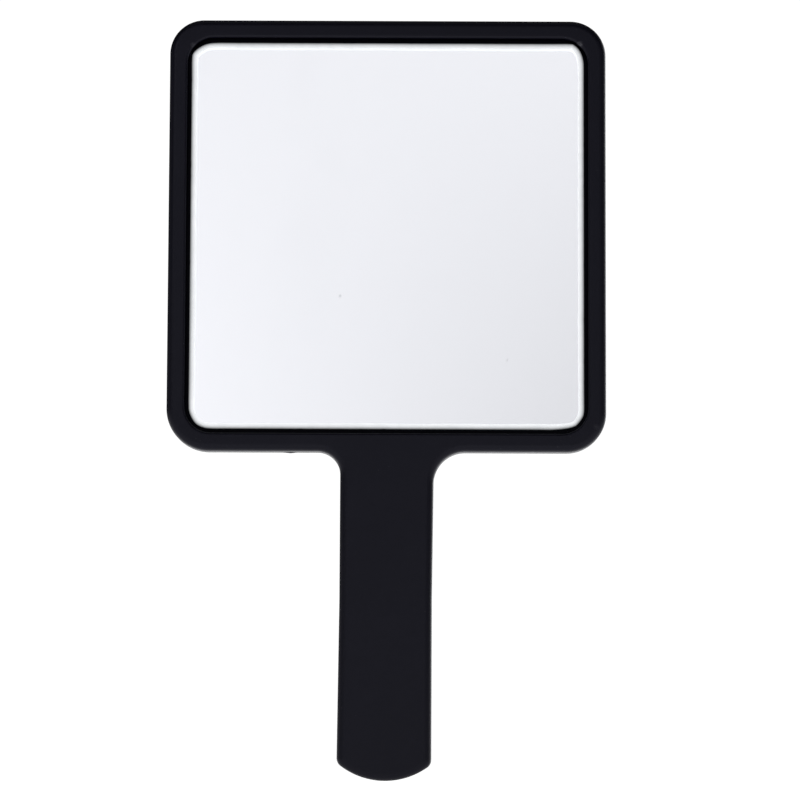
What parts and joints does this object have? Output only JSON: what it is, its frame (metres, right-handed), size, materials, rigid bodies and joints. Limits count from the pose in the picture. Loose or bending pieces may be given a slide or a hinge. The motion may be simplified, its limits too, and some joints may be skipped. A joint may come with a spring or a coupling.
{
  "type": "hand mirror",
  "caption": "Square salon hand mirror: flat glass set in a rounded moulded frame, with a straight flat handle in one piece with the frame.",
  "frame": {"origin": "middle of the grip: halfway along the handle, at mid width and mid thickness", "axes": "+Z along the handle towards the head, -Y out of the reflecting face, +X to the right as seen from the front"},
  "size_m": [0.15, 0.01, 0.2604],
  "materials": {
    "shell_plastic": "fine moulded texture, matt black",
    "clear_glass": "polished float glass with a ground arris",
    "silvering": "silver mirror coat",
    "back_paint": "grey protective paint",
    "foam_tape": "white closed-cell foam, double-sided tape"
  },
  "bodies": {
    "root": {"front_shell": "shell_plastic", "rear_cover": "shell_plastic", "mirror_glass": "clear_glass", "silver_coat": "silvering", "backing_paint": "back_paint", "tape_top": "foam_tape", "tape_bottom": "foam_tape", "tape_left": "foam_tape", "tape_right": "foam_tape", "tape_centre": "foam_tape"}
  },
  "joints": []
}
